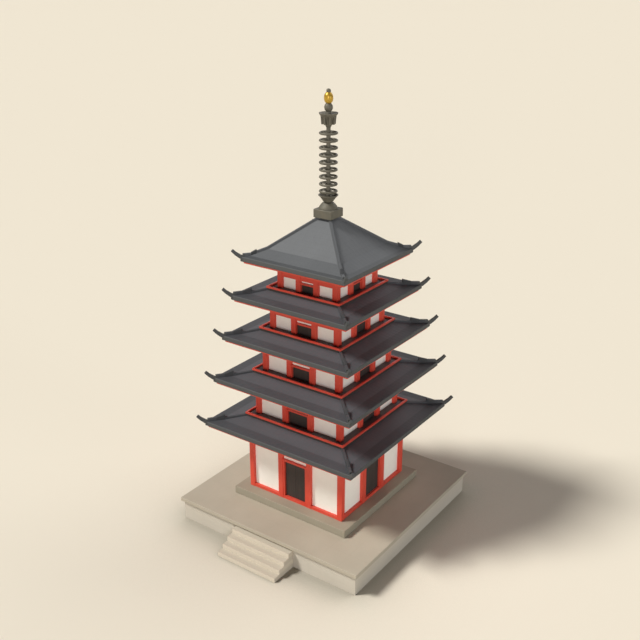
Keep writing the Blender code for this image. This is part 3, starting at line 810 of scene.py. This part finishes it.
# %% Rafters on all sides of each eave
def eave_rafters(storey):
    near = POST_SPAN_HALF - POST_SPAN_STEP * storey + RAFTER_START
    far = EAVE_HALF - EAVE_STEP * storey - SOFFIT_INSET - RAFTER_SETBACK
    height = soffit_height(storey) - RAFTER_DEPTH / 2
    row = rafter_row(storey, near, far, height)
    sides = [row] + [copied(row, turn=math.radians(90 * side)) for side in (1, 2, 3)]
    length = (far - near - HIP_RAFTER_SHORTER) * math.sqrt(2)
    depth = RAFTER_DEPTH + HIP_RAFTER_DEEPER
    middle = ((far + near) / 2 * math.sqrt(2), 0, height - HIP_RAFTER_DEEPER / 2)
    hip = bar("hip_rafter", middle, (length, HIP_RAFTER_WIDTH, depth))
    hips = [copied(hip, turn=math.radians(45 + 90 * corner)) for corner in range(4)]
    bpy.data.objects.remove(hip, do_unlink=True)
    piece = joined(f"eave_rafters_{storey + 1}", sides + hips)
    piece.data.materials.clear()
    piece.data.materials.append(red_paint)
    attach(piece, "tower")
    return piece


for storey in range(STOREYS):
    piece = eave_rafters(storey)
    print(piece.name, len(piece.data.polygons), "faces")

# %% [markdown]
# ## Ridge-end tiles
#
# Where the main hip ridge ends, a tall end tile closes it. Its upright face looks up the roof,
# and its back falls to the low corner ridge that runs on to the hook. In the photo it shows as
# a small step in each roof's outline near the corners. It is a squared bar whose top slants.

# %% Ridge-end tiles on the hips
END_TILE_WIDTH = 0.145
END_TILE_FOOT = 0.03
# Distances in from the eave and heights above its top, at the tall end and at the low end
LOWER_END_TILE = ((0.80, 0.37), (0.44, 0.22))
TOP_END_TILE = ((0.62, 0.37), (0.40, 0.21))
# The end tiles' dark tone is partly their own colour and partly painted shade for their shaded
# faces.
END_TILE_TONE = (0.040, 0.042, 0.045)
END_TILE_DARK = (0.034, 0.036, 0.039)

end_tile_finish = make_tiles(
    "dark_end_tiles", END_TILE_TONE, END_TILE_DARK, END_TILE_TONE, END_TILE_TONE, EAVE_HALF, (),
)


def ridge_end_tiles(storey):
    tall, low = TOP_END_TILE if storey == STOREYS - 1 else LOWER_END_TILE
    edge = EAVE_HALF - EAVE_STEP * storey
    length = (tall[0] - low[0]) * math.sqrt(2)
    height = (tall[1] + low[1]) / 2 - END_TILE_FOOT
    tile = bar("ridge_end_tile", (0, 0, 0), (length, END_TILE_WIDTH, height), edge=0.012)
    for vertex in tile.data.vertices:
        if vertex.co.z > 0:
            vertex.co.z -= (tall[1] - low[1]) * vertex.co.x / length
    middle = (edge - (tall[0] + low[0]) / 2) * math.sqrt(2)
    tile.location = (middle, 0, eave_top(storey) + END_TILE_FOOT + height / 2)
    settle(tile)
    corners = [copied(tile, turn=math.radians(45 + 90 * corner)) for corner in range(4)]
    bpy.data.objects.remove(tile, do_unlink=True)
    piece = joined(f"ridge_end_tiles_{storey + 1}", corners)
    piece.data.materials.clear()
    piece.data.materials.append(end_tile_finish)
    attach(piece, "tower")
    return piece


for storey in range(STOREYS):
    piece = ridge_end_tiles(storey)
    print(piece.name, len(piece.data.polygons), "faces")

# %% [markdown]
# ## Spire
#
# The bowls, balls and collars of the spire were cast and then turned, so they are truly round.
# The solids have twenty sides, which show as corners on such a smooth surface. Here each is
# turned again from the same profile with many more sides, and the rings become round bars.

# %% Turned cups of the spire
BASE_TOP = 18.245
BOWL_BOTTOM = 18.56
BOWL_RIM = 18.98
BOWL_FLOOR = 18.80
SMOOTH_BELOW = 32


def finish_metal(piece, node, material=weathered_bronze):
    smooth_edges_below(piece, SMOOTH_BELOW)
    piece.data.materials.clear()
    piece.data.materials.append(material)
    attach(piece, "tower")
    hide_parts(node)
    print(piece.name, "stands for", node, "with", len(piece.data.polygons), "faces")


low = BASE_TOP + GAP
dome = turned("spire_dome", (
    (0.505, low), (0.505, low + 0.03), (0.495, low + 0.06), (0.48, low + 0.09),
    (0.462, low + 0.125), (0.44, low + 0.16), (0.416, low + 0.19), (0.39, low + 0.22),
    (0.34, low + 0.27), (0.30, BOWL_BOTTOM - GAP),
))
finish_metal(dome, "finial_dome")
bowl = turned("spire_bowl", (
    (0.17, BOWL_BOTTOM), (0.20, BOWL_BOTTOM + 0.03), (0.28, BOWL_BOTTOM + 0.09),
    (0.34, BOWL_BOTTOM + 0.18), (0.41, BOWL_BOTTOM + 0.275), (0.49, BOWL_BOTTOM + 0.355),
    (0.53, BOWL_RIM - 0.025), (0.52, BOWL_RIM), (0.46, BOWL_RIM), (0.36, BOWL_RIM - 0.11),
    (0.26, BOWL_FLOOR),
))
finish_metal(bowl, "finial_bowl")

# %% [markdown]
# ## Mast and rings
#
# Nine rings hang one above the other on the mast, each on a cross of four arms. One ring and
# one cross are made, copied up the mast, and joined to it.

# %% Mast, rings and crosses
VANE_BOTTOM = 22.448
VANE_TOP = 23.245
MAST_RADIUS = 0.11
RING_COUNT = 9
RING_FIRST = 19.163
RING_PITCH = 0.3755
RING_MIDDLE = 0.4275
RING_BAR = 0.125
SPOKE_WIDTH = 0.06
SPOKE_EDGE = 0.012
SMALL_SIDES = 32

mast = turned("spire_mast", (
    (MAST_RADIUS, BOWL_FLOOR + GAP), (MAST_RADIUS, VANE_BOTTOM - GAP),
), SMALL_SIDES)
start_fresh()
bpy.ops.mesh.primitive_torus_add(
    location=(0, 0, RING_FIRST), major_radius=RING_MIDDLE, minor_radius=RING_BAR / 2,
    major_segments=56, minor_segments=14,
)
ring = settle(bpy.context.object)
arm_size = (2 * RING_MIDDLE, SPOKE_WIDTH, SPOKE_WIDTH)
arm = bar("arm", (0, 0, RING_FIRST), arm_size, SPOKE_EDGE)
cross_arm = copied(arm, turn=math.radians(90))
ring = joined("ring_with_cross", [ring, arm, cross_arm])
rings = [ring] + [copied(ring, shift=(0, 0, RING_PITCH * step)) for step in range(1, RING_COUNT)]
mast = joined("spire_mast_and_rings", [mast] + rings)
finish_metal(mast, "finial_mast_and_rings")

# %% [markdown]
# ## Flared crown and its vanes
#
# Above the rings a flared crown carries eight upright vanes. One vane is a plate whose outer
# upper corner is pulled outwards, and the others are turned copies of it.

# %% Crown and vanes
VANE_COUNT = 8
VANE_MIDDLE = 0.235
VANE_RISE = 0.37
VANE_SIZE = (0.27, 0.08, 0.42)
VANE_EDGE = 0.012
VANE_FLARE = 0.035

low = VANE_BOTTOM
rim = VANE_TOP
crown = turned("spire_crown", (
    (0.115, low), (0.15, low + 0.08), (0.22, low + 0.17), (0.235, low + 0.28), (0.25, low + 0.40),
    (0.34, low + 0.52), (0.44, low + 0.62), (0.487, rim - 0.11), (0.487, rim - 0.06),
    (0.44, rim - 0.065), (0.30, rim - 0.11), (0.16, rim - 0.11), (0.13, rim),
))
vane = bar("vane", (VANE_MIDDLE, 0, low + VANE_RISE), VANE_SIZE, VANE_EDGE)
bpy.ops.object.mode_set(mode="EDIT")
bpy.ops.mesh.select_all(action="DESELECT")
bpy.ops.object.mode_set(mode="OBJECT")
for vertex in vane.data.vertices:
    vertex.select = vertex.co.x > 0.3 and vertex.co.z > low + 0.5
bpy.ops.object.mode_set(mode="EDIT")
bpy.ops.transform.translate(value=(VANE_FLARE, 0, 0))
bpy.ops.object.mode_set(mode="OBJECT")
turns = [math.radians(360 / VANE_COUNT * step) for step in range(1, VANE_COUNT)]
vanes = [vane] + [copied(vane, turn=turn) for turn in turns]
crown = joined("spire_crown_and_vanes", [crown] + vanes)
finish_metal(crown, "finial_vanes")

# %% [markdown]
# ## Ball, jewel and tip
#
# A bronze ball, a gilded jewel and a small cap close the spire. The ball is almost a circle
# in outline, drawn out a little in height, and cut flat at both ends where it meets its
# neighbours.

# %% Ball, jewel and tip
SPHERE_TOP = 23.655
SPHERE_RADIUS = 0.222
# The height of the cut circle as a share of the ball's. The outline is drawn out to fill the rest.
CIRCLE_SHARE = 0.92
HALF_STEPS = 8
JEWEL_TOP = 24.19
TIP_TOP = 24.365

low = VANE_TOP + GAP
high = SPHERE_TOP - GAP
end_angle = math.asin((high - low) / 2 / SPHERE_RADIUS * CIRCLE_SHARE)
outline = []
for step in range(2 * HALF_STEPS + 1):
    angle = end_angle * (step / HALF_STEPS - 1)
    share = math.sin(angle) / math.sin(end_angle)
    outline.append((SPHERE_RADIUS * math.cos(angle), (low + high) / 2 + share * (high - low) / 2))
finish_metal(turned("spire_ball", outline), "finial_sphere")
jewel = turned("spire_jewel", (
    (0.13, SPHERE_TOP), (0.185, SPHERE_TOP + 0.05), (0.208, SPHERE_TOP + 0.095),
    (0.222, SPHERE_TOP + 0.14), (0.233, SPHERE_TOP + 0.195), (0.237, SPHERE_TOP + 0.25),
    (0.235, SPHERE_TOP + 0.30), (0.228, SPHERE_TOP + 0.35), (0.215, SPHERE_TOP + 0.40),
    (0.195, SPHERE_TOP + 0.44), (0.15, JEWEL_TOP - 0.03), (0.12, JEWEL_TOP),
))
finish_metal(jewel, "finial_jewel", gilding)
tip = turned("spire_tip", (
    (0.105, JEWEL_TOP + GAP), (0.115, JEWEL_TOP + 0.06), (0.113, JEWEL_TOP + 0.095),
    (0.105, TIP_TOP - 0.05), (0.092, TIP_TOP - 0.027), (0.07, TIP_TOP - 0.01), (0.03, TIP_TOP),
), SMALL_SIDES)
finish_metal(tip, "finial_tip")

# %% [markdown]
# ## Floor
#
# The model stands on one wide, plain, pale floor. It reaches far enough to fill the view, so
# there is no horizon behind the tower. In the photo a soft shade lies on the floor all round
# the terrace, so the floor's own tone darkens there. An occlusion node tells how open each
# point of the floor is: fully open far away, and about half beside a wall.

# %% Studio floor
FLOOR_COLOUR = (0.80, 0.737, 0.622)
FLOOR_SIZE = 3000
CONTACT_REACH = 6.5
CONTACT_SHADE = 0.50
OPEN_BESIDE_WALL = 0.5

start_fresh()
bpy.ops.mesh.primitive_plane_add(size=FLOOR_SIZE)
floor = bpy.context.object
floor.name = "studio_floor"
floor_material = bpy.data.materials.new("pale_floor")
floor_material.use_nodes = True
floor_shader = floor_material.node_tree.nodes["Principled BSDF"]
floor_tree = floor_material.node_tree
nearness = add(floor_tree, "ShaderNodeAmbientOcclusion", {"samples": 8}, Distance=CONTACT_REACH)
contact = ramp(floor_tree, nearness.outputs["AO"], OPEN_BESIDE_WALL, 1.0, CONTACT_SHADE, 0.0)
floor_colour = mix(floor_tree, contact, FLOOR_COLOUR, BLACK)
floor_tree.links.new(floor_colour, floor_shader.inputs["Base Color"])
floor_shader.inputs["Roughness"].default_value = 0.95
floor_shader.inputs["Specular IOR Level"].default_value = 0.0
floor.data.materials.append(floor_material)
print("floor:", floor.name)
